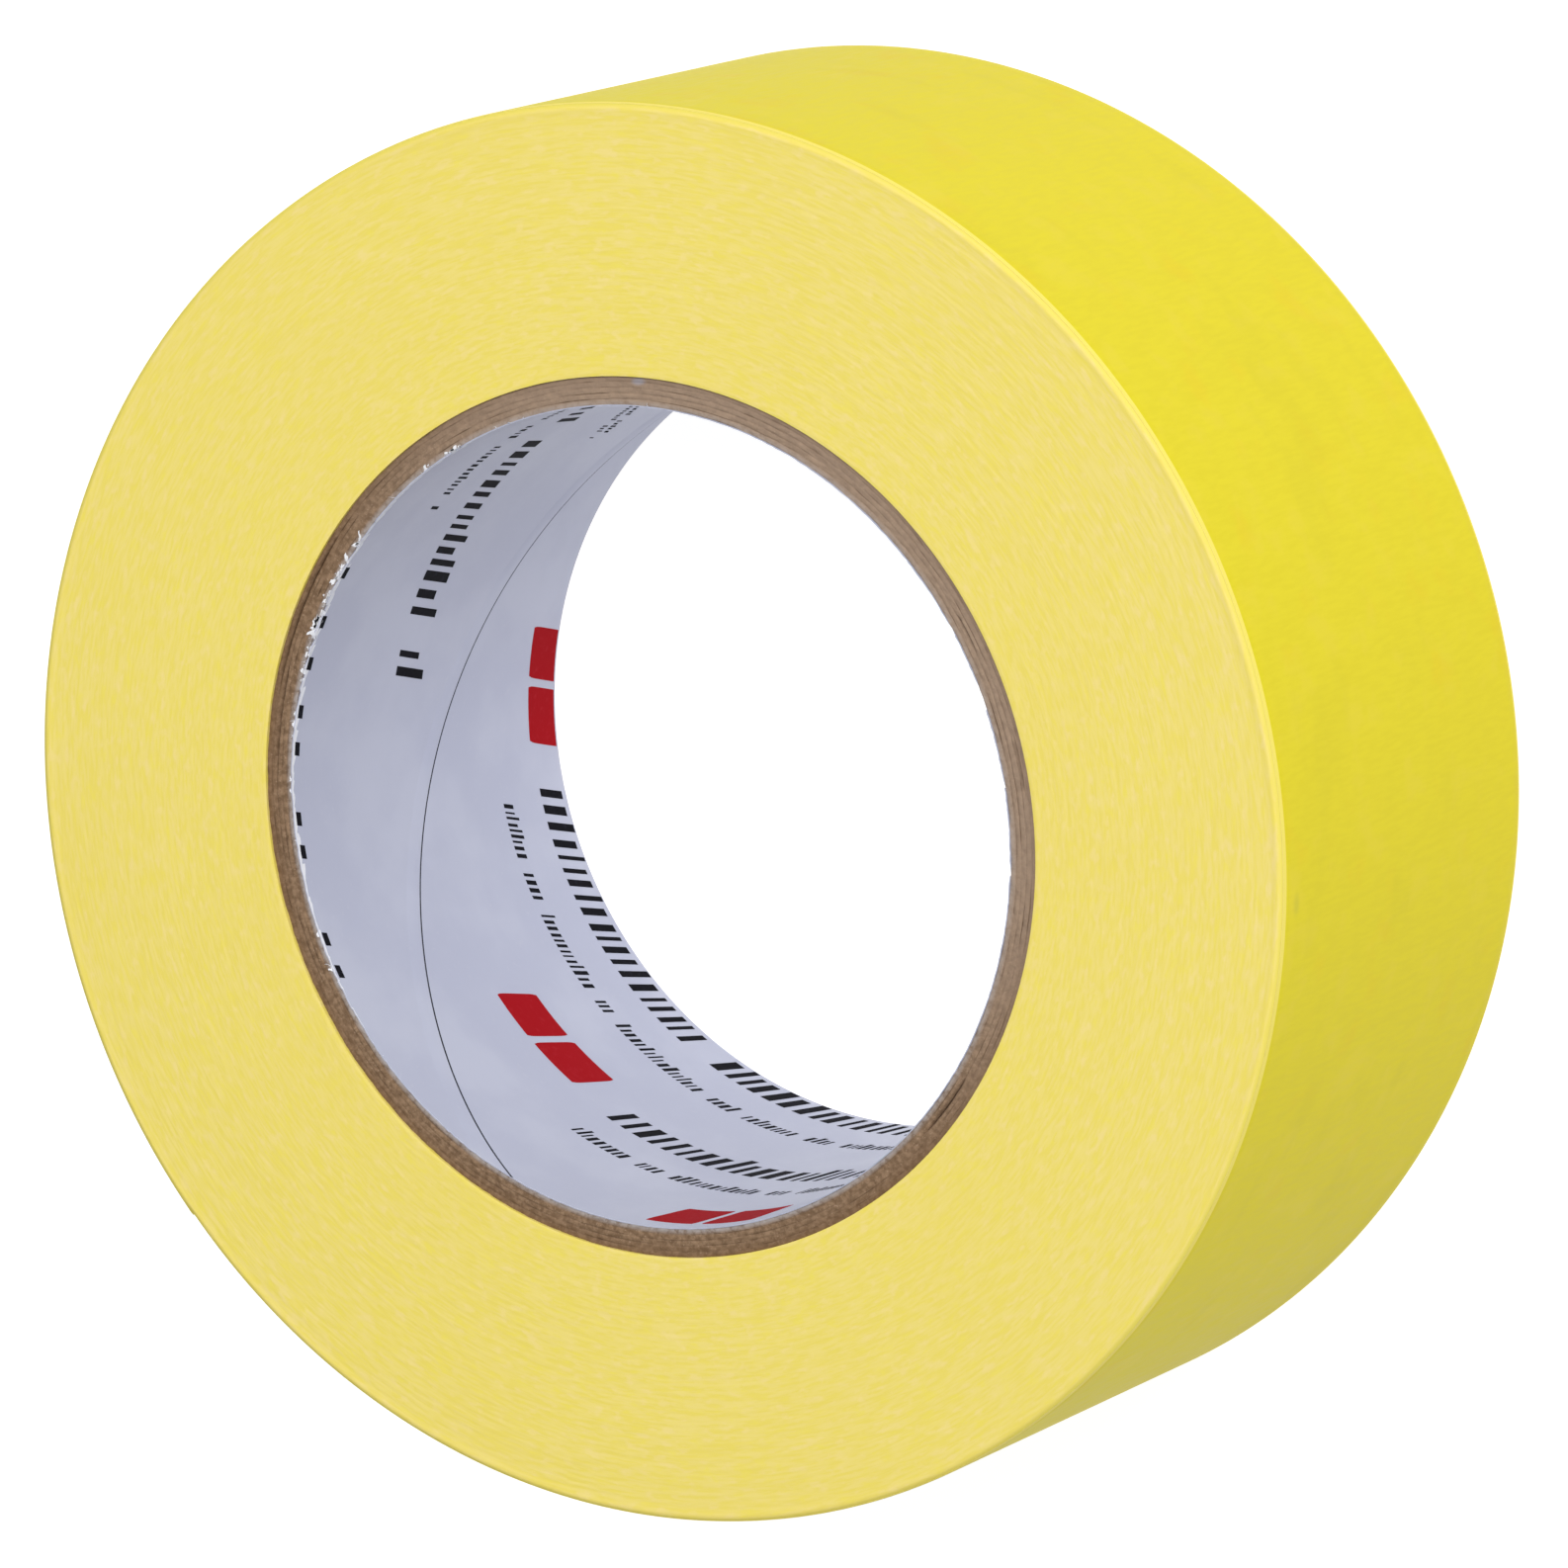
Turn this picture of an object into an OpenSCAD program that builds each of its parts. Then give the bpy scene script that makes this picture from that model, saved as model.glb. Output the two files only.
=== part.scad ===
// Roll of masking tape on a paper core, lying flat with its bore axis along Z.
// The tape winds outwards counter-clockwise seen from above. Its outermost turn ends
// in a short free tail that can be peeled off the roll.
// Every turn is made of two half circles whose centres are half a tape thickness
// apart, so the outside surface steps by exactly one thickness at the tape's end.

/* [Tape] */
// radius of the wound roll, to the outside of its last turn
roll_r = 66; // [45:0.5:80]
// width of the tape, which is the height of the roll
tape_w = 48; // [18:1:60]
// thickness of the paper backing with its back coating
backing_t = 0.115; // [0.08:0.005:0.2]
// thickness of the adhesive layer on the inside of the tape
adhesive_t = 0.04; // [0.02:0.005:0.08]
// radius of the two outer corners of the roll, where the tape edges are pressed round
edge_r = 0.7; // [0.3:0.1:1.5]

/* [Core] */
// radius of the bore, at the face of the printed liner
bore_r = 38.2; // [12:0.1:40]
// thickness of the liner sheet
liner_t = 0.15; // [0.1:0.01:0.3]
// thickness of one kraft ply, with its glue
ply_t = 0.53; // [0.3:0.01:0.8]
// distance from each face of the roll in to the end of the core
core_recess = 0.4; // [0:0.1:1]

/* [Tail] */
// direction of the tape's cut end, in degrees counter-clockwise from X
end_angle = 215; // [0:5:360]
// turn angle covered by one segment of the free tail
seg_angle = 8; // [5:1:12]
// gap between two tail segments
seg_gap = 0.02; // [0.01:0.01:0.1]
// gap between the free tail and the turn under it
tail_gap = 0.01; // [0.005:0.005:0.05]

/* [Hidden] */
tape_t = backing_t + adhesive_t;
core_r = bore_r + liner_t + 5 * ply_t;
core_w = tape_w - 2 * core_recess;
tail_segs = 5;
tail_start = -tail_segs * seg_angle;
gap_angle = seg_gap / roll_r * 180 / PI;
backing_in = roll_r - backing_t;
under_tail = roll_r - tape_t;

paper_yellow = [0.92, 0.84, 0.45];
adhesive_amber = [0.86, 0.76, 0.38];
kraft = [0.52, 0.40, 0.28];
liner_white = [0.78, 0.80, 0.86];

// Half section of the wound tape between two radii, with the roll's rounded corners.
module roll_section(r_in, r_out) {
    intersection() {
        translate([r_in, 0]) square([r_out - r_in, tape_w]);
        union() {
            square([roll_r - edge_r, tape_w]);
            translate([0, edge_r]) square([roll_r, tape_w - 2 * edge_r]);
            translate([roll_r - edge_r, edge_r]) circle(r = edge_r);
            translate([roll_r - edge_r, tape_w - edge_r]) circle(r = edge_r);
        }
    }
}

// The half of a turn that begins under the tape's end.
module first_half(r_in, r_out) {
    rotate_extrude(angle = 180) roll_section(r_in, r_out);
}

// Part of the half of a turn that leads up to the tape's end, half a tape further out.
module second_half(r_in, r_out, from, to) {
    translate([tape_t / 2, 0, 0])
        rotate([0, 0, from])
            rotate_extrude(angle = to - from)
                translate([tape_t / 2, 0]) roll_section(r_in, r_out);
}

// One tube of the core, between two radii.
module core_tube(r_in, r_out) {
    translate([0, 0, core_recess]) difference() {
        cylinder(h = core_w, r = r_out);
        translate([0, 0, -1]) cylinder(h = core_w + 2, r = r_in);
    }
}

module core_ply(n) {
    inner = bore_r + liner_t;
    color(kraft) core_tube(inner + (n - 1) * ply_t, inner + n * ply_t);
}

module core_liner() {
    color(liner_white) core_tube(bore_r, bore_r + liner_t);
}

// All the turns under the outermost one, pressed into one body by their adhesive.
module wound_turns() {
    inner = core_r - 2;
    color(paper_yellow) difference() {
        rotate([0, 0, end_angle]) union() {
            first_half(inner, under_tail);
            second_half(inner, under_tail, -180, 0);
        }
        translate([0, 0, -1]) cylinder(h = tape_w + 2, r = core_r);
    }
}

// The stuck-down part of the outermost turn, for one layer of the tape.
module outer_turn(r_in, r_out) {
    rotate([0, 0, end_angle]) union() {
        first_half(r_in, r_out);
        second_half(r_in, r_out, -180, tail_start);
    }
}

module outer_turn_adhesive() {
    color(adhesive_amber) outer_turn(under_tail, backing_in);
}

module outer_turn_backing() {
    color(paper_yellow) outer_turn(backing_in, roll_r);
}

// One segment of the free tail, for one layer of the tape, counted from the roll.
module tail_segment(n, r_in, r_out) {
    from = tail_start + (n - 1) * seg_angle + gap_angle;
    to = tail_start + n * seg_angle;
    rotate([0, 0, end_angle]) second_half(r_in, r_out, from, to);
}

module tail_adhesive(n) {
    color(adhesive_amber) tail_segment(n, under_tail + tail_gap, backing_in);
}

module tail_backing(n) {
    color(paper_yellow) tail_segment(n, backing_in, roll_r);
}

core_liner();
core_ply(1);  // core_ply_1
core_ply(2);  // core_ply_2
core_ply(3);  // core_ply_3
core_ply(4);  // core_ply_4
core_ply(5);  // core_ply_5
wound_turns();
outer_turn_adhesive();
outer_turn_backing();
tail_adhesive(1);  // tail_adhesive_1
tail_adhesive(2);  // tail_adhesive_2
tail_adhesive(3);  // tail_adhesive_3
tail_adhesive(4);  // tail_adhesive_4
tail_adhesive(5);  // tail_adhesive_5
tail_backing(1);  // tail_backing_1
tail_backing(2);  // tail_backing_2
tail_backing(3);  // tail_backing_3
tail_backing(4);  // tail_backing_4
tail_backing(5);  // tail_backing_5
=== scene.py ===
"""The looks of a roll of masking tape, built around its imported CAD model.

The roll lies on its lower face with the bore axis along Z. Lengths are in millimetres
and angles in degrees; a Builder turns its points into metres as it makes a mesh.
"""

import itertools
import math

import bpy
import numpy as np
from mathutils import Matrix, Vector


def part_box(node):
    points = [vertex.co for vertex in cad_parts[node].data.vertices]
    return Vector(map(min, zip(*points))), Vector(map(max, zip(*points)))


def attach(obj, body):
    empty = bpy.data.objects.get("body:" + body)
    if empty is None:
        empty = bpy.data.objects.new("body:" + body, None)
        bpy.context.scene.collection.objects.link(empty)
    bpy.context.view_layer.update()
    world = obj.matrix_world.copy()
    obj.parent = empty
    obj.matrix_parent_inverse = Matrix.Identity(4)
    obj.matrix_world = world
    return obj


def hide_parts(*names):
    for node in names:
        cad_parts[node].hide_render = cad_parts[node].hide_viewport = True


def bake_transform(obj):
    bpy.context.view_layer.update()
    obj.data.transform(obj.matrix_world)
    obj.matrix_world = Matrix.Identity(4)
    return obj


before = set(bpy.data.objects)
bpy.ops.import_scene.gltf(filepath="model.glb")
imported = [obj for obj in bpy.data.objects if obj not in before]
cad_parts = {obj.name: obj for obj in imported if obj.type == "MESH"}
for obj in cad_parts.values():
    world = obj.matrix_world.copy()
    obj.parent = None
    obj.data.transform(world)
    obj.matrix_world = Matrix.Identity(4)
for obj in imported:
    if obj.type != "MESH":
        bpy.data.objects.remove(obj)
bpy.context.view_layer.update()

# ---------------------------------------------------------------- sizes, in millimetres

MM = 0.001
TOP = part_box("wound_turns")[1].z / MM  # the upper face of the roll; the lower one is at 0
ROLL_R = 66.0  # outside of the last turn
BACKING_T = 0.115
ADHESIVE_T = 0.04
TAPE_T = BACKING_T + ADHESIVE_T
EDGE_R = 0.7  # the roll's two rounded outer corners
BORE_R = 38.2
LINER_T = 0.15
PLY_T = 0.53
PLIES = 5
CORE_R = BORE_R + LINER_T + PLIES * PLY_T
CORE_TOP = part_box("core_ply_1")[1].z / MM
CORE_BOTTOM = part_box("core_ply_1")[0].z / MM
TAIL_GAP = 0.01  # under the free tail

END_ANGLE = 215.0  # direction of the tape's cut end
SEGMENT = 8.0  # turn angle of one tail segment
SEGMENTS = 5
PEEL_AT = 360.0 - SEGMENTS * SEGMENT  # where the free tail begins, from the cut end


# ---------------------------------------------------------------- noise

LINE_CELLS = 4096  # length of a noise line before it repeats
RING_CELLS = 512  # length of a noise ring before it repeats


def smooth(x):
    return x * x * (3 - 2 * x)


def ramp(x, low, high):
    """0 below low, 1 above high, smooth between."""
    return smooth(np.clip((x - low) / (high - low), 0, 1))


def noise_line(x, seed):
    """Smooth noise from -1 to 1 along a line, one lattice cell a unit."""
    table = np.random.default_rng(seed).uniform(-1, 1, LINE_CELLS)
    cell = np.floor(x).astype(int)
    a, b = table[cell % LINE_CELLS], table[(cell + 1) % LINE_CELLS]
    return a + (b - a) * smooth(x - cell)


def noise_ring(x, turn, cells, seed):
    """Smooth noise from -1 to 1 over x and an angle.

    It closes on itself after 360 degrees, which hold that many cells."""
    table = np.random.default_rng(seed).uniform(-1, 1, (RING_CELLS, cells))
    y = np.asarray(turn, float) / 360 * cells
    x, y = np.broadcast_arrays(np.asarray(x, float), y)
    i, j = np.floor(x).astype(int), np.floor(y).astype(int)
    u, v = smooth(x - i), smooth(y - j)

    def at(di, dj):
        return table[(i + di) % RING_CELLS, (j + dj) % cells]

    low = at(0, 0) + (at(0, 1) - at(0, 0)) * v
    high = at(1, 0) + (at(1, 1) - at(1, 0)) * v
    return low + (high - low) * u


# ---------------------------------------------------------------- mesh building


def polar(radius, angle, z):
    """A point at a world angle, as x, y, z."""
    a = np.radians(angle)
    return np.stack(np.broadcast_arrays(radius * np.cos(a), radius * np.sin(a), z), -1)


def on_turn(radius, along, z):
    """A point on the turn of that nominal radius, along degrees round from the tape's cut end.

    A turn is two half circles. The second one is centred half a tape further out, so a turn
    grows by one tape thickness on its way round."""
    a = np.radians(along)
    grown = np.where(np.asarray(along) > 180, TAPE_T / 2, 0.0)
    x = grown + (radius + grown) * np.cos(a)
    y = (radius + grown) * np.sin(a)
    turn = math.radians(END_ANGLE)
    c, s = math.cos(turn), math.sin(turn)
    return np.stack(np.broadcast_arrays(c * x - s * y, s * x + c * y, z), -1)


class Builder:
    """Collects vertices and faces, in millimetres, and makes one closed piece of them.

    The kind of a face is the number of its material in the piece's list."""

    def __init__(self):
        self.points, self.faces, self.kinds, self.count = [], [], [], 0

    def grid(self, points):
        """Adds a rows x columns x 3 array of points and returns their numbers, rows x columns."""
        rows, columns = points.shape[:2]
        self.points.append(points.reshape(-1, 3))
        numbers = self.count + np.arange(rows * columns).reshape(rows, columns)
        self.count += rows * columns
        return numbers

    def skin(self, numbers, flip=False, kind=0):
        """Faces over a grid of point numbers."""
        a, b = numbers[:-1, :-1], numbers[1:, :-1]
        c, d = numbers[1:, 1:], numbers[:-1, 1:]
        quads = np.stack([a, b, c, d], -1).reshape(-1, 4)
        if flip:
            quads = quads[:, ::-1]
        self.faces.extend(quads.tolist())
        self.kinds.extend([kind] * len(quads))

    def polygon(self, numbers, flip):
        """One face with those corners, of the first material."""
        self.faces.append([int(i) for i in (numbers[::-1] if flip else numbers)])
        self.kinds.append(0)

    def piece(self, name, materials, body=None, replaced=(), sharp=40):
        mesh = bpy.data.meshes.new(name)
        mesh.from_pydata((np.concatenate(self.points) * MM).tolist(), [], self.faces)
        for m in materials:
            mesh.materials.append(m)
        mesh.polygons.foreach_set("material_index", self.kinds)
        mesh.update()
        mesh.set_sharp_from_angle(angle=math.radians(sharp))
        obj = bpy.data.objects.new(name, mesh)
        bpy.context.scene.collection.objects.link(obj)
        if body:
            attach(obj, body)
        if replaced:
            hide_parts(*replaced)
        return obj


def close_ring(numbers):
    """A grid whose last column joins its first."""
    return np.concatenate([numbers, numbers[:, :1]], 1)


def border(numbers):
    """The numbers round the edge of a grid, back to the first."""
    return np.concatenate([numbers[0], numbers[1:, -1], numbers[-1, -2::-1], numbers[-2::-1, 0]])


# ---------------------------------------------------------------- materials


class Nodes:
    """A short way to write a node material."""

    def __init__(self, name):
        self.material = bpy.data.materials.new(name)
        self.material.use_nodes = True
        self.tree = self.material.node_tree
        self.shader = self.tree.nodes["Principled BSDF"]

    def new(self, kind, **settings):
        node = self.tree.nodes.new(kind)
        for key, value in settings.items():
            if key in node.bl_rna.properties:
                setattr(node, key, value)
            else:
                self.put(node.inputs[key], value)
        return node

    def put(self, socket, value):
        if isinstance(value, bpy.types.NodeSocket):
            self.tree.links.new(value, socket)
        elif isinstance(value, bpy.types.Node):
            self.tree.links.new(value.outputs[0], socket)
        else:
            socket.default_value = value

    def math(self, operation, a, b=0.0, c=None):
        node = self.tree.nodes.new("ShaderNodeMath")
        node.operation = operation
        self.put(node.inputs[0], a)
        self.put(node.inputs[1], b)
        if c is not None:
            self.put(node.inputs[2], c)
        return node.outputs[0]

    def times(self, a, b):
        return self.math("MULTIPLY", a, b)

    def mix(self, factor, a, b):
        node = self.tree.nodes.new("ShaderNodeMix")
        node.data_type = "RGBA"
        self.put(node.inputs["Factor"], factor)
        for socket, value in ((node.inputs["A"], a), (node.inputs["B"], b)):
            self.put(socket, value if not isinstance(value, tuple) else (*value, 1))
        return node.outputs["Result"]

    def between(self, value, low, high):
        """0 where value is below low, 1 above high."""
        node = self.new("ShaderNodeMapRange", interpolation_type="SMOOTHSTEP")
        self.put(node.inputs["Value"], value)
        self.put(node.inputs["From Min"], low)
        self.put(node.inputs["From Max"], high)
        return node.outputs["Result"]

    def tint(self, colour, other, amount, value, low, high):
        """The colour, drawn towards another one by that amount as value goes from low to high."""
        return self.mix(self.times(self.between(value, low, high), amount), colour, other)

    def xyz(self):
        """The point on the object in millimetres, as x, y and z."""
        place = self.new("ShaderNodeTexCoord").outputs["Object"]
        scaled = self.new("ShaderNodeVectorMath", operation="SCALE", Scale=1 / MM)
        self.put(scaled.inputs[0], place)
        parts = self.new("ShaderNodeSeparateXYZ", Vector=scaled)
        return parts.outputs

    def place(self):
        """The point on the object in millimetres, as one vector."""
        return self.vector(*self.xyz())

    def round_axis(self):
        """Radius, and the direction from the axis as cos and sin."""
        x, y, _ = self.xyz()
        radius = self.math("SQRT", self.math("ADD", self.times(x, x), self.times(y, y)))
        return radius, self.math("DIVIDE", x, radius), self.math("DIVIDE", y, radius)

    def vector(self, x, y, z):
        node = self.tree.nodes.new("ShaderNodeCombineXYZ")
        for socket, value in zip(node.inputs, (x, y, z)):
            self.put(socket, value)
        return node.outputs[0]

    def round_vector(self, c, s, circle, third):
        """A vector that runs round a circle of that radius as the angle of c and s does."""
        return self.vector(self.times(c, circle), self.times(s, circle), third)

    def distance(self, vector, point):
        node = self.new("ShaderNodeVectorMath", operation="DISTANCE")
        self.put(node.inputs[0], vector)
        node.inputs[1].default_value = point
        return node.outputs["Value"]

    def noise(self, vector, scale, detail=2.0, rough=0.5):
        node = self.new("ShaderNodeTexNoise", Scale=scale, Detail=detail, Roughness=rough)
        self.put(node.inputs["Vector"], vector)
        return node.outputs[0]

    def bump(self, height, distance, strength):
        node = self.new("ShaderNodeBump", Strength=strength, Distance=distance * MM)
        self.put(node.inputs["Height"], height)
        return node.outputs[0]

    def finish(self, colour, roughness, normal=None, **constants):
        base = (*colour, 1) if isinstance(colour, tuple) else colour
        self.put(self.shader.inputs["Base Color"], base)
        self.put(self.shader.inputs["Roughness"], roughness)
        if normal is not None:
            self.put(self.shader.inputs["Normal"], normal)
        for key, value in constants.items():
            self.shader.inputs[key.replace("_", " ")].default_value = value
        return self.material


CRUSHED_EDGE = (0.725, 0.612, 0.110)  # the rounded corners, where the paper is pressed smooth
FACE_MIDDLE = 55.0  # radius at which the streaks of a face have their given length
SPOT_Y, SPOT_Z = -8.3, 45.3  # a small dark mark on the wall, on the side of +X
SPOT_FLAT = 1.8  # how many times wider than high it is
SMEAR_X, SMEAR_Y = 3.8, 40.4  # a bluish smear on the end of the core
SMEAR_FLAT = 0.5  # how high it is for its width
SQUARE_ON = 0.71  # share of x and of y in the direction towards the lamps, where the core's end is painted lighter


def tape_edge_material():
    """The faces of the roll: edges of many turns, with streaks along them."""
    n = Nodes("tape_edges")
    radius, c, s = n.round_axis()

    def streaks(across, along):
        """Noise drawn out along the turns: features across and along, in millimetres."""
        v = n.round_vector(c, s, FACE_MIDDLE / along, n.math("DIVIDE", radius, across))
        return n.noise(v, 1.0, 3.0)

    fine = streaks(0.28, 2.0)
    threads = streaks(0.5, 12.0)
    flecks = streaks(0.65, 1.6)
    cloud = n.noise(n.place(), 0.05, 3.0)
    colour = n.mix(n.between(fine, 0.34, 0.66), (0.812, 0.672, 0.132), (0.832, 0.688, 0.198))
    colour = n.tint(colour, (0.85, 0.69, 0.27), 0.6, flecks, 0.54, 0.70)
    colour = n.tint(colour, (0.83, 0.70, 0.105), 0.55, flecks, 0.44, 0.30)
    colour = n.tint(colour, (0.79, 0.65, 0.12), 0.15, threads, 0.54, 0.70)
    colour = n.tint(colour, (0.80, 0.65, 0.14), 0.2, cloud, 0.45, 0.7)
    colour = n.mix(n.between(radius, ROLL_R - 0.55, ROLL_R - 0.2), colour, CRUSHED_EDGE)
    rough = n.math("MULTIPLY_ADD", n.between(fine, -0.6, 1.6), 0.2, 0.5)
    return n.finish(colour, rough, n.bump(fine, 0.03, 0.2), Specular_IOR_Level=0.2)


def backing_material():
    """The outside of the tape: yellow crepe paper with its smooth back coating."""
    n = Nodes("crepe_backing")
    _, c, s = n.round_axis()
    x, y, z = n.xyz()
    place = n.vector(x, y, z)

    def creases(along, across):
        """Noise with features that many millimetres along the tape and across it."""
        v = n.round_vector(c, s, ROLL_R / along, n.math("DIVIDE", z, across))
        return n.noise(v, 1.0, 3.0)

    crepe = creases(0.5, 2.6)
    mottle = n.noise(place, 0.24, 3.0)
    cloud = n.noise(place, 0.16, 3.0)
    smudge = creases(16.0, 7.0)
    colour = n.mix(n.between(crepe, 0.3, 0.7), (0.600, 0.508, 0.014), (0.625, 0.534, 0.020))
    colour = n.tint(colour, (0.640, 0.530, 0.034), 0.5, mottle, 0.52, 0.70)
    colour = n.tint(colour, (0.640, 0.450, 0.014), 0.3, cloud, 0.56, 0.74)
    colour = n.tint(colour, (0.42, 0.36, 0.02), 0.1, smudge, 0.55, 0.70)
    centre = (0.0, SPOT_Y, SPOT_Z * SPOT_FLAT)
    off = n.distance(n.vector(0.0, y, n.times(z, SPOT_FLAT)), centre)
    spot = n.times(n.between(off, 1.6, 0.2), n.between(x, 0.0, 1.0))
    colour = n.mix(n.times(spot, 0.2), colour, (0.25, 0.25, 0.06))
    rough = n.math("MULTIPLY_ADD", n.between(crepe, 0.3, 0.8), 0.12, 0.44)
    return n.finish(colour, rough, n.bump(crepe, 0.03, 0.25), Specular_IOR_Level=0.05)


def adhesive_material():
    """The sticky side of the tape: amber, with faint coating lines."""
    n = Nodes("adhesive")
    x, y, z = n.xyz()
    lines = n.noise(n.vector(n.times(x, 0.1), n.times(y, 0.1), z), 1.4, 3.0)
    colour = n.mix(n.between(lines, 0.35, 0.7), (0.70, 0.545, 0.10), (0.77, 0.62, 0.17))
    return n.finish(colour, n.math("MULTIPLY_ADD", lines, 0.2, 0.22), n.bump(lines, 0.04, 0.4))


def kraft_material():
    """Cut ends and sides of the brown core plies."""
    n = Nodes("kraft_board")
    radius, c, s = n.round_axis()
    x, y, z = n.xyz()
    place = n.vector(x, y, z)
    fibre = n.noise(place, 1.6, 5.0, 0.65)
    specks = n.noise(place, 4.5, 2.0)
    patches = n.noise(n.round_vector(c, s, 7.0, radius), 1.0, 2.0)
    ply = n.math("FRACT", n.math("DIVIDE", n.math("SUBTRACT", radius, BORE_R + LINER_T), PLY_T))
    joint = n.math("ABSOLUTE", n.math("SUBTRACT", ply, 0.5))  # 0.5 where two plies meet
    colour = n.mix(n.between(fibre, 0.35, 0.66), (0.165, 0.100, 0.056), (0.285, 0.185, 0.112))
    colour = n.tint(colour, (0.45, 0.32, 0.22), 0.5, specks, 0.6, 0.74)
    colour = n.tint(colour, (0.148, 0.080, 0.038), 0.45, radius, CORE_R - 1.6, CORE_R - 0.1)
    fringe = n.times(n.between(radius, BORE_R + 0.8, BORE_R + 0.2), n.between(fibre, 0.2, 0.6))
    colour = n.mix(n.times(fringe, 0.8), colour, (0.38, 0.36, 0.36))
    # painted light: the end of the core is lighter on its side towards the lamps, at +X and +Y
    side = n.math("ADD", n.times(c, SQUARE_ON), n.times(s, SQUARE_ON))
    colour = n.tint(colour, (0.37, 0.275, 0.205), 0.6, side, -0.2, 0.7)
    lines = n.times(n.between(joint, 0.36, 0.48), n.between(patches, 0.48, 0.64))
    colour = n.mix(n.times(lines, 0.65), colour, (0.10, 0.058, 0.032))
    centre = (SMEAR_X * SMEAR_FLAT, SMEAR_Y, 0.0)
    smear = n.distance(n.vector(n.times(x, SMEAR_FLAT), y, 0.0), centre)
    colour = n.tint(colour, (0.30, 0.33, 0.42), 0.5, smear, 0.5, 0.15)
    return n.finish(colour, 0.85, n.bump(fibre, 0.15, 0.5), Specular_IOR_Level=0.2)


def liner_material():
    """The printed sheet inside the core: thin, cool white and slightly glossy."""
    n = Nodes("core_liner_paper")
    place = n.place()
    cloud = n.noise(place, 0.09, 4.0)
    fine = n.noise(place, 1.6, 3.0)
    colour = n.mix(n.between(cloud, 0.38, 0.66), (0.425, 0.443, 0.555), (0.470, 0.488, 0.592))
    colour = n.tint(colour, (0.51, 0.52, 0.60), 0.25, fine, 0.58, 0.75)
    return n.finish(colour, n.math("MULTIPLY_ADD", fine, 0.15, 0.36), n.bump(cloud, 0.12, 0.3))


def torn_paper_material():
    """Bare paper fibres, whiter than the liner's face."""
    n = Nodes("torn_paper")
    fibre = n.noise(n.place(), 3.0, 3.0)
    return n.finish(n.mix(fibre, (0.74, 0.75, 0.80), (0.88, 0.88, 0.90)), 0.9)


def ink_and_shadow_material(name, solid, worn):
    """Printing ink, a little uneven where the paper shows through; also the painted shadow in the
    liner's seam.
    """
    n = Nodes(name)
    patch = n.noise(n.place(), 1.1, 4.0, 0.6)
    colour = n.mix(n.between(patch, 0.5, 0.85), solid, worn)
    rough = n.math("MULTIPLY_ADD", patch, 0.2, 0.6)
    return n.finish(colour, rough, Specular_IOR_Level=0.05)


TAPE_EDGES = tape_edge_material()
BACKING = backing_material()
ADHESIVE = adhesive_material()
KRAFT = kraft_material()
LINER = liner_material()
TORN = torn_paper_material()
# painted shadow: the gap beside the liner's overlap is coloured near black, as the overlap's
# shade
SEAM_SHADOW = ink_and_shadow_material("liner_seam_shadow", (0.035, 0.035, 0.045), (0.08, 0.08, 0.095))
RED_INK = ink_and_shadow_material("red_ink", (0.36, 0.003, 0.008), (0.42, 0.02, 0.03))
BLACK_INK = ink_and_shadow_material("black_ink", (0.005, 0.005, 0.008), (0.02, 0.02, 0.03))


# ---------------------------------------------------------------- the wound turns

FACE_SUNK = 0.06  # mean depth of a face's relief, more than it rises anywhere


def edge_drop(radius):
    """How far the roll's rounded corner drops below the face at that nominal radius."""
    over = np.clip(np.asarray(radius, float) - (ROLL_R - EDGE_R), 0, EDGE_R)
    return EDGE_R - np.sqrt(EDGE_R**2 - over**2)


def face_relief(passed, nominal, world, seed):
    """Height of a face: single turns that stand out or lie back, and broad, shallow waves.

    passed is the number of turns passed along the tape, and what is added to it only chooses
    a stretch of the noise."""
    relief = 0.003 * noise_line(passed * 9.3 + 700, seed)
    relief = relief + 0.008 * noise_line(passed * 97.0 + 900, seed + 1)
    relief = relief + 0.006 * noise_ring(nominal / 1.1, world, 24, seed + 2)
    return relief + 0.014 * noise_ring(nominal / 5.0, world, 7, seed + 3)


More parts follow.
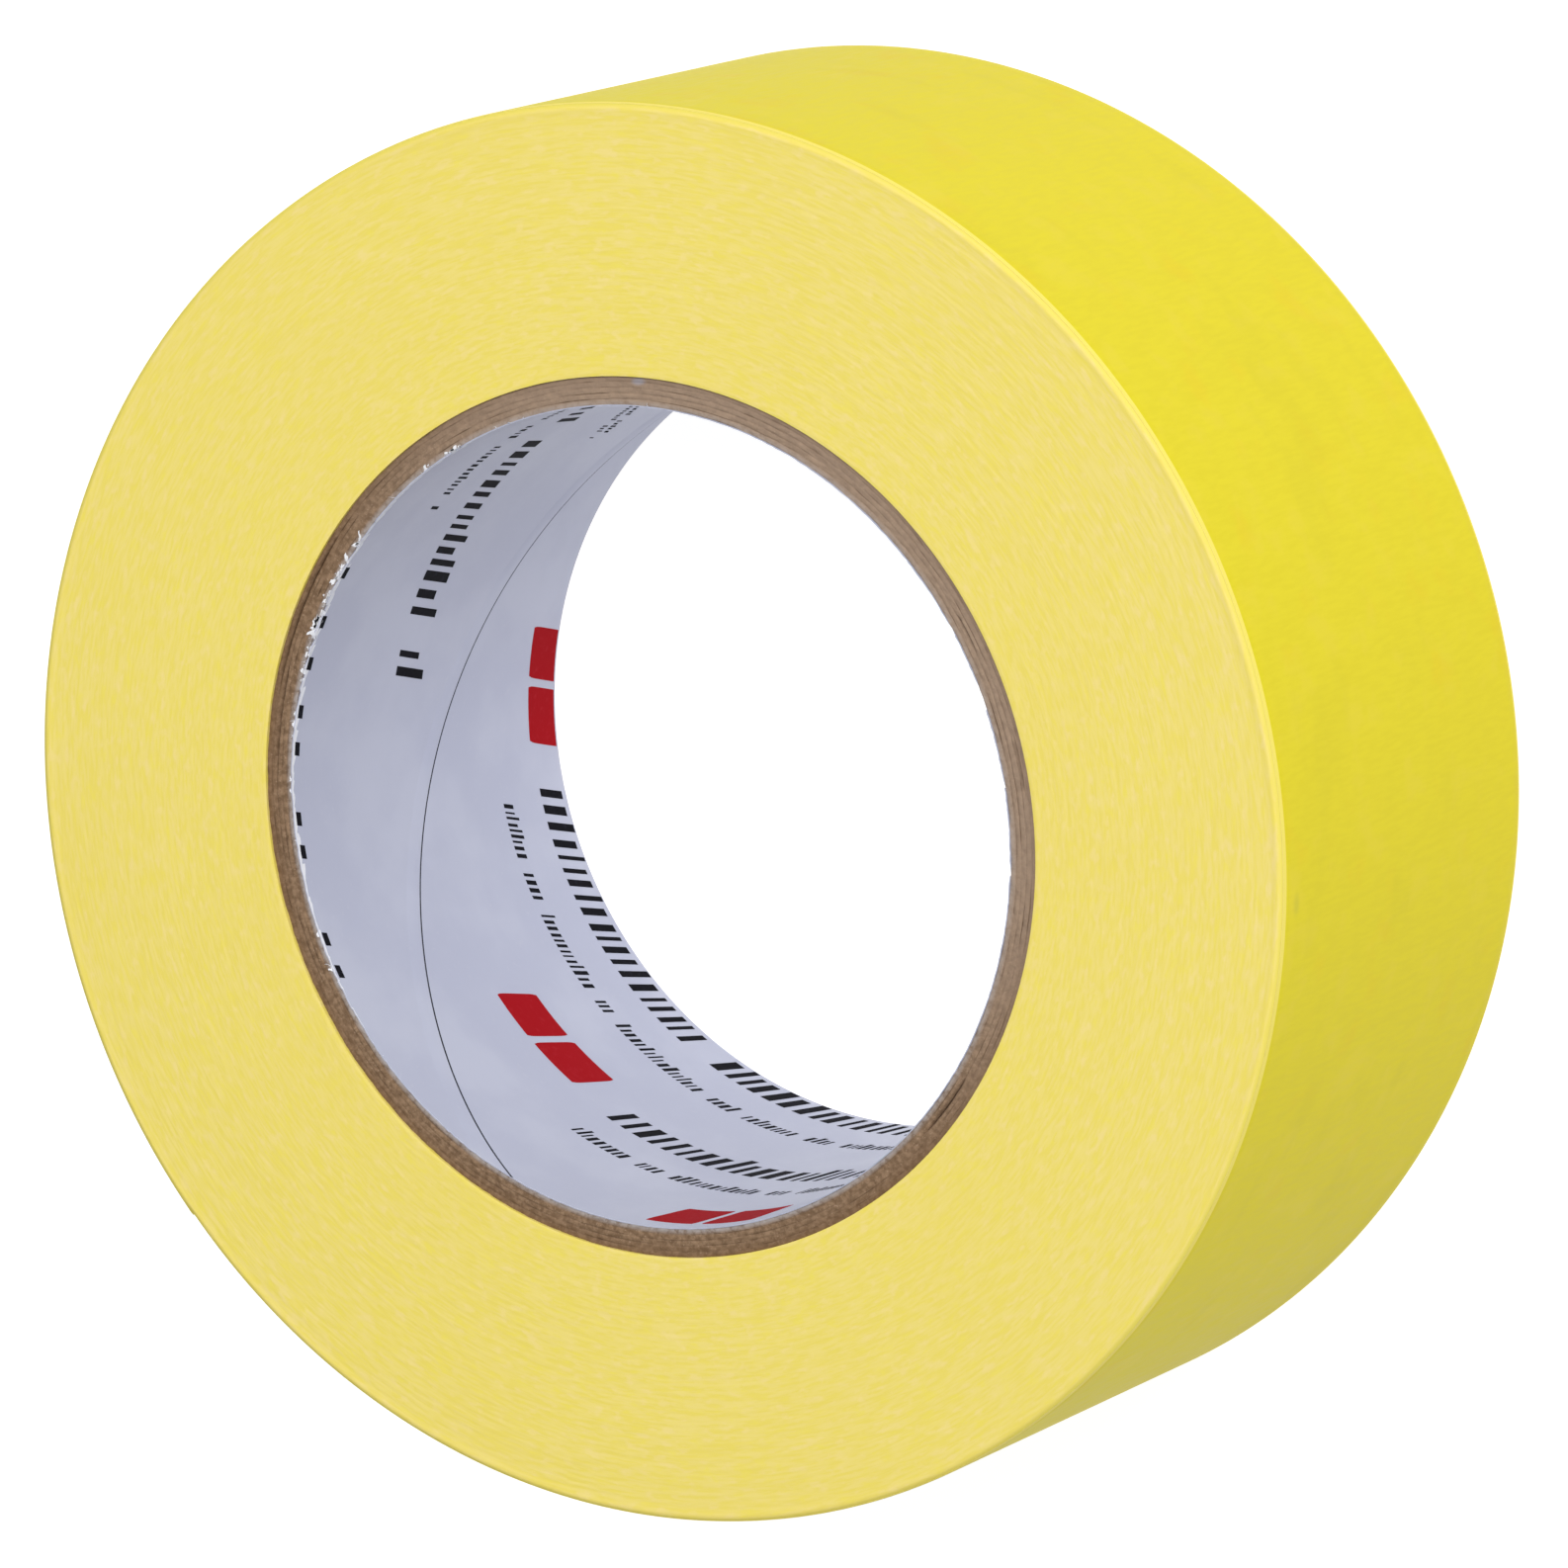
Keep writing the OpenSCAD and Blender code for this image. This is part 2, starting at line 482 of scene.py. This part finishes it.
def wound_tape():
    """All the turns under the last one: one spiral ridge a turn on both faces."""
    columns = 270
    outer = ROLL_R - TAPE_T
    turns = int((outer - CORE_R) / TAPE_T)  # the last row is the core's own circle
    along = np.linspace(0, 360, columns + 1)[:-1]
    world = along + END_ANGLE
    build = Builder()
    paper_edge, backing = 0, 1

    def face(z, up, seed):
        """Point numbers of one face, a row a turn, counted inwards.

        The first grid has one more column than the second, which closes each turn."""
        row = np.arange(turns)[:, None]
        nominal = outer - row * TAPE_T
        relief = face_relief(-row + along / 360, nominal, world, seed) - FACE_SUNK
        relief = relief * ramp(outer - nominal, 0, 1.2)
        wave = 0.10 * noise_ring(nominal / 2.6, world, 16, seed + 4)
        wave = wave * ramp(nominal - CORE_R, 0.2, 3) * ramp(outer - nominal, 0.5, 4)
        level = z + up * (relief - edge_drop(nominal))
        spiral = build.grid(on_turn(nominal + wave, along, level))
        last_point = on_turn(np.array([[outer]]), np.array([[360.0]]), z - up * edge_drop(outer))
        rim = build.grid(last_point)
        ends = np.concatenate([rim, spiral[:-1, :1]])  # a turn ends where the next one out begins
        return np.concatenate([spiral, ends], 1), spiral

    upper, upper_open = face(TOP, 1, 20)
    lower, lower_open = face(0.0, -1, 40)
    build.skin(upper)
    build.skin(lower, flip=True)

    # the cylinder against the core, and the narrow ring between it and the innermost turn
    levels = np.linspace(TOP - 0.1, 0.1, 7)[:, None]
    wall = build.grid(polar(CORE_R, world[None, :], levels))
    build.skin(close_ring(wall))
    for open_face, ring, flip in ((upper_open, wall[0], False), (lower_open, wall[-1], True)):
        last, before = open_face[-1], open_face[-2]
        build.skin(np.stack([last, ring]), flip=flip)
        build.polygon([last[-1], ring[-1], ring[0], last[0], before[0]], flip)

    # the outside wall, with the step where the tape's end lies on it
    heights = np.linspace(TOP - edge_drop(outer), edge_drop(outer), 9)[1:-1, None]
    side = build.grid(on_turn(outer, np.append(along, 360.0)[None, :], heights))
    side = np.concatenate([upper[:1], side, lower[:1]])
    build.skin(side, flip=True, kind=backing)
    build.skin(np.stack([side[:, -1], side[:, 0]], 1), flip=True, kind=paper_edge)
    build.piece("wound_tape", [TAPE_EDGES, BACKING], "roll", ["wound_turns"])


# ---------------------------------------------------------------- the last turn and its tail

STRIP_ROWS = 42  # across the tape
STUCK_COLUMNS = {"backing": 1180, "adhesive": 316}  # along the stuck-down part of the turn
TAIL_COLUMNS = 64  # along one length of the tail
TAIL_END_COLUMNS = 32  # along its last half length
FOLD_REACH = 1.6  # how far to each side of the first joint the hinge span reaches; the span's points are not used
CREPE_DEPTH = 0.014


def crepe(along, z, depth):
    """Fine creases across the tape, always into the paper."""
    arc = along / 360 * 2 * math.pi * ROLL_R
    bend = 1.4 * noise_ring(z / 5.0, along, 90, 61)
    strength = 0.6 + 0.4 * noise_ring(z / 3.0, along, 160, 63)
    ridge = noise_line(arc / 0.55 + 0.8 * bend, 62) * strength
    broad = noise_ring(z / 9.0, along, 40, 64)
    return -depth * (0.5 - 0.35 * ridge - 0.15 * broad)


def torn(z):
    """How far short of the cut end the tape stops at that height, in degrees of turn."""
    jag = 0.5 + 0.32 * noise_line(z / 3.2, 71) + 0.18 * noise_line(z / 0.7, 72)
    return 0.55 * jag


def tape_strip(name, start, end, layer, columns, body=None, replaced=(), ends_torn=False):
    """A length of the last turn, from one angle to another, of one layer of the tape.

    The backing is the outer layer and the adhesive the inner one. Each is a closed solid."""
    along = np.linspace(start, end, columns + 1)[None, :]
    if layer == "backing":
        low, high, material = ROLL_R - BACKING_T, ROLL_R, BACKING
        under = low
    else:
        low, high, material = ROLL_R - TAPE_T, ROLL_R - BACKING_T, ADHESIVE
        under = low + TAIL_GAP * ramp(along, PEEL_AT - 0.5 * SEGMENT, PEEL_AT)
    across = np.linspace(1, -1, STRIP_ROWS)[:, None]

    def sheet(radius, creped):
        middle, reach = TOP / 2, TOP / 2 - edge_drop(high if creped else low)
        z, turn = np.broadcast_arrays(middle + reach * across, along)
        if ends_torn:
            turn = turn - torn(z) * ramp(along, start, end)
        relief = crepe(turn, z, CREPE_DEPTH) if creped else 0.0
        return build.grid(on_turn(radius + relief, turn, z))

    build = Builder()
    paper_edge = 1
    outside = sheet(high, layer == "backing")
    inside = sheet(under, False)
    build.skin(outside)
    build.skin(inside, flip=True)
    for a, b in ((outside[0], inside[0]), (inside[-1], outside[-1])):
        build.skin(np.stack([b, a]), kind=paper_edge)
    for a, b in ((outside[:, 0], inside[:, 0]), (inside[:, -1], outside[:, -1])):
        build.skin(np.stack([a, b]))
    return build.piece(name, [material, TAPE_EDGES], body, replaced)


def last_turn():
    """The stuck-down turn rides on the roll. The tail is built in lengths, one at each joint,
    which are not attached to their joints; only its end rides on the last joint.
    """
    half = SEGMENT / 2
    for layer, columns in STUCK_COLUMNS.items():
        name = f"outer_turn_{layer}"
        tape_strip(f"{name}_skin", 0, PEEL_AT - half, layer, columns, "roll", [name])
        for i in range(1, SEGMENTS + 1):
            joint = PEEL_AT + (i - 1) * SEGMENT
            name = f"tail_{layer}_skin_{i}"
            strip = tape_strip(name, joint - half, joint + half, layer, TAIL_COLUMNS)
            reach = FOLD_REACH if i == 1 else half * math.pi / 180 * ROLL_R
            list(hinge_span(joint, reach))
            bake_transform(strip)
            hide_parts(f"tail_{layer}_{i}")
        name, body = f"tail_{layer}_end", f"tail_{SEGMENTS}"
        tape_strip(name, 360 - half, 360, layer, TAIL_END_COLUMNS, body, ends_torn=True)


def hinge_span(along, reach):
    """Two points that distance before and after a hinge, along the tape."""
    angle = math.radians(END_ANGLE + along)
    centre = on_turn(ROLL_R, along, TOP / 2)
    way = np.array([-math.sin(angle), math.cos(angle), 0])
    return tuple((centre - reach * way) * MM), tuple((centre + reach * way) * MM)


# ---------------------------------------------------------------- the plies of the core

# Places where two plies have come apart at their ends: joint radius, middle and half length
# in degrees.
CRACKS = (
    (40.2, 6.5, 4.5),
    (39.41, 25.0, 3.0),
    (40.47, 150.0, 14.0),
    (39.94, 166.0, 9.0),
    (39.41, 318.0, 6.0),
)
CRACK_DEPTH = 0.35


def crack(radius, angle):
    """Extra depth of the core's end near the open joints between its plies."""
    depth = 0.0
    for joint, middle, reach in CRACKS:
        off = (angle - middle + 180) % 360 - 180
        near = 1 - ramp(np.abs(radius - joint), 0.02, 0.16)
        depth = depth + CRACK_DEPTH * near * (1 - ramp(np.abs(off), 0.5 * reach, reach))
    return depth


def core_plies():
    """Five tubes of board. Their cut ends are fibrous, with a small groove between plies."""
    columns = 900
    angle = np.linspace(0, 360, columns + 1)[None, :-1]
    across = np.linspace(0, 1, 6)[:, None]
    levels = np.linspace(CORE_TOP - 0.3, CORE_BOTTOM + 0.3, 4)[:, None]
    for i in range(PLIES):
        inner = BORE_R + LINER_T + i * PLY_T
        radius = inner + PLY_T * across
        build = Builder()

        def cut_end(z, up, seed):
            fuzz = 0.035 * noise_ring(radius * 6.1, angle, 720, seed)
            fuzz = fuzz + 0.05 * noise_ring(radius * 2.3, angle, 260, seed + 1)
            uneven = 0.7 + 0.5 * noise_ring(across + i, angle, 120, seed + 2)
            groove = 0.06 * np.abs(2 * across - 1) ** 3 * uneven + crack(radius, angle)
            level = z + up * (np.clip(fuzz, -0.08, 0.08) - groove)
            return build.grid(polar(radius, angle, level))

        top = cut_end(CORE_TOP, 1, 80 + 7 * i)
        bottom = cut_end(CORE_BOTTOM, -1, 180 + 7 * i)
        inside = build.grid(polar(inner, angle, levels))
        outside = build.grid(polar(inner + PLY_T, angle, levels))
        build.skin(close_ring(top), flip=True)
        build.skin(close_ring(bottom))
        build.skin(close_ring(np.concatenate([top[:1], inside, bottom[:1]])))
        build.skin(close_ring(np.concatenate([top[-1:], outside, bottom[-1:]])), flip=True)
        name = f"core_ply_{i + 1}"
        build.piece(f"{name}_board", [KRAFT], "roll", [name])


# ---------------------------------------------------------------- the liner of the core

# The liner is one strip wound in a helix. Its seam is a straight line on the unrolled core.
# Places near it are given in millimetres round the bore, from the middle of the seam.
SEAM_AT_TOP = -117.1  # angle where the seam meets the upper face
SEAM_SLOPE = 0.39  # millimetres down for each degree clockwise
AROUND = 2 * math.pi * BORE_R  # once round the bore
PER_DEGREE = BORE_R * math.pi / 180  # millimetres round the bore for one degree
DEGREES = 180 / (math.pi * BORE_R)  # degrees of turn for one millimetre round the bore
LAP = 3.5  # width of the strip's overlap along its seam
LAP_SLOPE = 0.5  # width of the slope at the start of the overlap
LAP_T = 0.045  # how far the overlap stands up
GAP_START, GAP_END = -0.32, 0.24  # the gap beside the overlap, painted near black as the overlap's shadow
GAP_SLOPE = 0.06  # width of the slope at each side of it
GAP_DEPTH = 0.02
LIP = 0.12  # how far the liner's cut upper edge stands above the plies
BACK_GAP = 0.002  # between the liner's back and the first ply

# Nicks in the liner's upper edge: middle and half length in degrees, and depth.
NICKS = ((116, 1.3, 1.5), (27.0, 0.7, 1.2), (17.4, 1.6, 1.4), (5.0, 0.8, 0.7), (-7.3, 0.7, 1.0))


def seam_angle(z):
    return SEAM_AT_TOP - (TOP - z) / SEAM_SLOPE


def nearest(from_seam):
    """The same distance from the seam, taken the shorter way round."""
    return (from_seam + AROUND / 2) % AROUND - AROUND / 2


def liner_radius(from_seam):
    """The liner's face, so many millimetres round from the seam: a lap, and a gap at its edge."""
    past_lap = ramp(from_seam, GAP_START, GAP_START + GAP_SLOPE)
    lap = ramp(from_seam, -LAP - LAP_SLOPE, -LAP) * (1 - past_lap)
    gap = past_lap * (1 - ramp(from_seam, GAP_END, GAP_END + GAP_SLOPE))
    return BORE_R + LAP_T * (1 - lap) + GAP_DEPTH * gap


def torn_edge(angle):
    """How far the liner's upper edge falls short of its highest point, in millimetres."""
    fine = 0.08 * (1 + noise_line(angle * 1.9 + 800, 91))
    turn = (angle + 180) % 360 - 180
    ripped = ramp(turn, 130, 140) * (1 - ramp(turn, 158, 170))
    for middle, reach, deep in NICKS:
        ripped = ripped + deep * np.exp(-(((turn - middle) / reach) ** 2))
    ripped = ripped * 0.25 * (1 + noise_line(angle * 0.9 + 800, 92))
    return fine + ripped * (1 + 0.6 * noise_line(angle * 3 + 500, 93))


def frayed_width(angle):
    """Height of the band of bare fibres along the upper edge, wider where the edge is worn."""
    turn = angle % 360
    worn = ramp(turn, 95, 125) * (1 - ramp(turn, 180, 215))
    return (0.02 + 0.3 * worn) * (1.5 + noise_line(angle * 1.3 + 800, 94))


def liner():
    """The printed sheet, its helical seam with a painted shadow in the gap beside the overlap,
    and its upper edge, torn where the knife dragged.
    """
    build = Builder()
    seam_shadow_gap, fibres = 1, 2
    at_lap = (-LAP - LAP_SLOPE - 0.4, -LAP - LAP_SLOPE, -LAP, -0.5, -0.36)
    at_gap = (GAP_START, GAP_START + GAP_SLOPE, -0.12, 0.0, 0.12, GAP_END, GAP_END + GAP_SLOPE)
    close_up = np.array([*at_lap, *at_gap, 0.36, 0.5])
    step = 0.6
    around = np.linspace(close_up[-1] + step, AROUND + close_up[0] - step, 560)
    from_seam = np.concatenate([close_up, around])[None, :]

    def points(radius, rows):
        """A row along the torn edge, then rows from the fibres' lower limit to the lower end."""
        top_angle = seam_angle(CORE_TOP) + from_seam / PER_DEGREE
        top = CORE_TOP + LIP - torn_edge(top_angle)
        frayed = top - frayed_width(top_angle)
        z = frayed + (CORE_BOTTOM - frayed) * np.linspace(0, 1, rows)[:, None]
        z = np.concatenate([top, z])
        return build.grid(polar(radius, seam_angle(z) + from_seam / PER_DEGREE, z))

    face = points(liner_radius(nearest(from_seam)), 96)
    back = points(BORE_R + LINER_T - BACK_GAP, 40)
    ring = close_ring(face)
    build.skin(ring[:2], kind=fibres)
    ring = ring[1:]
    first, last = np.searchsorted(close_up, (GAP_START, GAP_END))  # columns at the gap's edges
    build.skin(ring[:, : first + 1])
    # the gap's faces take the painted seam shadow
    build.skin(ring[:, first : last + 1], kind=seam_shadow_gap)
    build.skin(ring[:, last:])
    build.skin(close_ring(back), flip=True)
    build.skin(close_ring(np.stack([back[0], face[0]])))
    build.skin(close_ring(np.stack([face[-1], back[-1]])), kind=fibres)
    materials = [LINER, SEAM_SHADOW, TORN]
    build.piece("core_liner_sheet", materials, "roll", ["core_liner"], sharp=60)


SCRAP_POINTS = 6  # along a scrap
SCRAP_T = 0.03


def scrap(build, r, angle, length, width, jagged):
    """One flake or wisp of paper that starts on the liner's edge and lies out over the plies."""
    step = np.linspace(0, 1, SCRAP_POINTS)
    way = r.uniform(-1.0, 1.0)  # how far it leans round the bore
    rise = CORE_TOP - torn_edge(angle) - 0.05 + step * r.uniform(0.15, 0.4)
    out = BORE_R + 0.03 + length * r.uniform(0.25, 0.9) * step**1.3
    on_plies = np.where(out > BORE_R + LINER_T, CORE_TOP + 0.01, 0)
    rise = np.minimum(np.maximum(rise, on_plies), TOP - 0.06)
    turn = angle + (way * length * step + r.uniform(-0.06, 0.06, SCRAP_POINTS)) * DEGREES
    if jagged:
        taper = r.uniform(0.35, 1.0, SCRAP_POINTS) * (1 - 0.6 * step)
    else:
        taper = 1 - 0.85 * step
    half = width / 2 * taper * DEGREES

    def sheet(z):
        return build.grid(np.stack([polar(out, turn - half, z), polar(out, turn + half, z)]))

    upper, lower = sheet(rise), sheet(rise - SCRAP_T)
    build.skin(upper, flip=True)
    build.skin(lower)
    build.skin(np.stack([border(upper), border(lower)]), flip=True)


# Where the liner's edge is torn: middle and spread in degrees, number of flakes, number of wisps.
TORN_PLACES = (
    (116, 0.8, 9, 5),
    (121, 1.2, 3, 4),
    (136.8, 0.7, 6, 2),
    (142.6, 1.3, 14, 6),
    (147.0, 0.7, 12, 5),
    (150.9, 0.6, 22, 6),
    (156, 2.6, 8, 10),
    (168, 6.0, 4, 10),
    (192, 9.0, 2, 6),
    (100, 12.0, 1, 6),
)
FLAKE = ((0.4, 0.95), (0.5, 1.2))  # least and greatest length, then width
WISP = ((0.2, 0.8), (0.06, 0.18))


def torn_scraps():
    """White paper where the liner's upper edge is torn, lying on the end of the core."""
    r = np.random.default_rng(17)
    build = Builder()
    for middle, spread, flakes, wisps in TORN_PLACES:
        for count, (length, width), jagged in ((flakes, FLAKE, True), (wisps, WISP, False)):
            for _ in range(count):
                place = r.normal(middle, spread)
                scrap(build, r, place, r.uniform(*length), r.uniform(*width), jagged)
    build.piece("core_liner_torn_scraps", [TORN], "roll")


# ---------------------------------------------------------------- print on the liner

INK_UP, INK_DOWN = 0.016, 0.004  # how far a mark stands out of the liner's face and goes into it
INK_STEP = 1.2  # longest step along a mark, in degrees
LEAN = 0.25  # how far a mark leans round the bore for each millimetre down
PRINT_TOP = CORE_TOP - 0.1
PRINT_BOTTOM = CORE_BOTTOM + 0.15
SHORTEST = 0.2  # of what is left of a bar that the liner's end cuts off

RED_MARKS = ((-198, 42.2), (-147.5, 22.4), (-98, 1.8))  # angle, and depth below the upper face
HEADING = (20, 15, 14, 8)  # bars in each group of a tall row
NOTE = (9, 4, 13, 3, 17, 4)  # and of a small one

# Rows of bars: first and last angle, depth below the upper face, height, groups, seed.
BLACK_ROWS = (
    (-173.5, -40, 43.2, 5.0, HEADING, 201),
    (-122.4, 12, 21.7, 5.0, HEADING, 202),
    (60, 163.5, 17.6, 5.0, (8, 14, 15), 203),
    (-173, -58, 36.4, 2.1, NOTE, 204),
    (-122.6, -8, 15.4, 2.1, NOTE, 205),
    (40, 134, 10.4, 2.1, NOTE, 206),
    (117, 126, 33.0, 1.3, (7, 3), 207),
    (118, 125, 35.2, 1.3, (4, 5), 208),
)
# Ends of a row that the liner's upper edge cuts off.
CUT_BARS = (141.5, 149.7, 156.2, 163.4, 168.8, 178.8, 183.5, 196.2, 201.1)


def ink(build, rows):
    """One thin mark of ink on the bore. Each row is (height, start, end): z, and two angles."""
    z, start, end = (np.array(column)[:, None] for column in zip(*rows))
    columns = int(np.abs(end - start).max() / INK_STEP) + 2
    angle = start + (end - start) * np.linspace(0, 1, columns)[None, :]
    radius = liner_radius(nearest((angle - seam_angle(z)) * BORE_R * math.pi / 180))
    face = build.grid(polar(radius - INK_UP, angle, z))
    back = build.grid(polar(radius + INK_DOWN, angle, z))
    build.skin(face)
    build.skin(back, flip=True)
    build.skin(np.stack([border(back), border(face)]))


def bar(build, angle, depth, height, width):
    """A slanted bar, cut off where it would pass an end of the liner.

    depth is from the upper face down to the bar's near end, and height is its length."""
    near = TOP - depth
    top, bottom = min(near, PRINT_TOP), max(near - height, PRINT_BOTTOM)
    if top - bottom < SHORTEST:
        return
    rows = []
    for z in (top, (top + bottom) / 2, bottom):
        shift = LEAN * (near - z)
        rows.append((z, angle + shift * DEGREES, angle + (width + shift) * DEGREES))
    ink(build, rows)


def line_of_bars(build, start, end, depth, height, groups, seed):
    """A row of slanted bars in groups, with the grey value of a printed line but no letters."""
    r = np.random.default_rng(seed)
    angle = start
    stroke, gap = 0.15 * height, 0.155 * height
    for bars in itertools.cycle(groups):
        for _ in range(bars):
            tall = height if r.random() < 0.22 else 0.74 * height
            width = stroke * r.uniform(0.55, 1.5)
            if angle + width * DEGREES > end:
                return
            bar(build, angle, depth, tall, width)
            angle += (width + gap * r.uniform(0.8, 1.3)) * DEGREES
        angle += 0.6 * height * DEGREES


def block(build, start, depth, height, length):
    """A leaning block with rounded corners: start is its first angle, depth its near side."""
    roundness = 7  # power of the curve that rounds its corners
    rows = []
    for k in np.linspace(-1, 1, 15):
        z = TOP - depth - height * (k + 1) / 2
        half = length / 2 * (1 - abs(k) ** roundness) ** (1 / roundness)
        centre = length / 2 + LEAN * (k + 1) / 2 * height
        if z > PRINT_BOTTOM and half > 0.3:
            rows.append((z, start + (centre - half) * DEGREES, start + (centre + half) * DEGREES))
    ink(build, rows)


def printing():
    """Generic print, repeated along the helix: a red mark of two blocks, and rows of bars."""
    red = Builder()
    for angle, depth in RED_MARKS:
        block(red, angle, depth, 6.6, 5.2)
        block(red, angle + 6.0 * DEGREES, depth, 6.6, 5.6)
    red.piece("print_red_marks", [RED_INK], "roll")

    black = Builder()
    for row in BLACK_ROWS:
        line_of_bars(black, *row)
    for angle in CUT_BARS:
        bar(black, angle, 0.75, 0.8, 1.3)
    black.piece("print_black_rows", [BLACK_INK], "roll")


# ---------------------------------------------------------------- floor, light and camera


def floor():
    mesh = bpy.data.meshes.new("floor")
    half = 4.0  # metres
    corners = [(-half, -half, 0), (half, -half, 0), (half, half, 0), (-half, half, 0)]
    mesh.from_pydata(corners, [], [(0, 1, 2, 3)])
    obj = bpy.data.objects.new("floor", mesh)
    bpy.context.scene.collection.objects.link(obj)
    n = Nodes("floor_paper")
    grain = n.noise(n.place(), 0.02, 2.0)
    colour = n.mix(grain, (0.30, 0.30, 0.30), (0.32, 0.32, 0.32))
    glow = {"Emission_Color": (1, 1, 1, 1), "Emission_Strength": 0.9}
    n.finish(colour, 0.9, **glow, Specular_IOR_Level=0.0)
    mesh.materials.append(n.material)


def area_light(name, place, target, size, power):
    """A round lamp that faces its target; places and size in metres, power in watts."""
    data = bpy.data.lights.new(name, "AREA")
    data.shape, data.size, data.energy = "DISK", size, power
    obj = bpy.data.objects.new(name, data)
    way = (np.array(target) - np.array(place)).astype(float)
    obj.rotation_euler = Vector(way).to_track_quat("-Z", "Y").to_euler()
    obj.location = place
    bpy.context.scene.collection.objects.link(obj)


def lights():
    """A white surround that is brighter towards +X and +Y, and two soft lamps on that side."""
    world = bpy.data.worlds.new("studio")
    world.use_nodes = True
    tree = world.node_tree
    way = tree.nodes.new("ShaderNodeTexCoord").outputs["Generated"]
    side = tree.nodes.new("ShaderNodeVectorMath")
    side.operation = "DOT_PRODUCT"
    side.inputs[1].default_value = (0.70, 0.71, 0.0)
    share = tree.nodes.new("ShaderNodeMapRange")
    strengths = {"From Min": -1.0, "From Max": 1.0, "To Min": 0.14, "To Max": 0.78}
    for socket, value in strengths.items():
        share.inputs[socket].default_value = value
    tree.links.new(way, side.inputs[0])
    tree.links.new(side.outputs["Value"], share.inputs["Value"])
    tree.links.new(share.outputs["Result"], tree.nodes["Background"].inputs["Strength"])
    tree.nodes["Background"].inputs["Color"].default_value = (1, 1, 1, 1)
    bpy.context.scene.world = world
    middle = (0, 0, 0.02)
    area_light("key", (0.68, 0.80, 1.75), middle, 0.9, 24.5)
    area_light("fill", (1.2, 0.5, 0.9), middle, 0.9, 4)


def camera():
    data = bpy.data.cameras.new("camera")
    data.sensor_width, data.lens = 36, 235.4
    data.clip_start, data.clip_end = 0.05, 20
    obj = bpy.data.objects.new("camera", data)
    right = (0.8610, -0.0912, -0.5003)
    up = (0.0054, 0.9854, -0.1703)
    back = (0.5085, 0.1439, 0.8489)
    turn = Matrix((right, up, back)).transposed().to_4x4()
    turn.normalize()
    obj.matrix_world = Matrix.Translation((0.4887, 0.1372, 0.8380)) @ turn
    bpy.context.scene.collection.objects.link(obj)
    bpy.context.scene.camera = obj


# ---------------------------------------------------------------- the scene

wound_tape()
last_turn()
core_plies()
liner()
torn_scraps()
printing()
floor()
lights()
camera()
bpy.context.scene.view_settings.view_transform = "Standard"

bpy.context.view_layer.update()
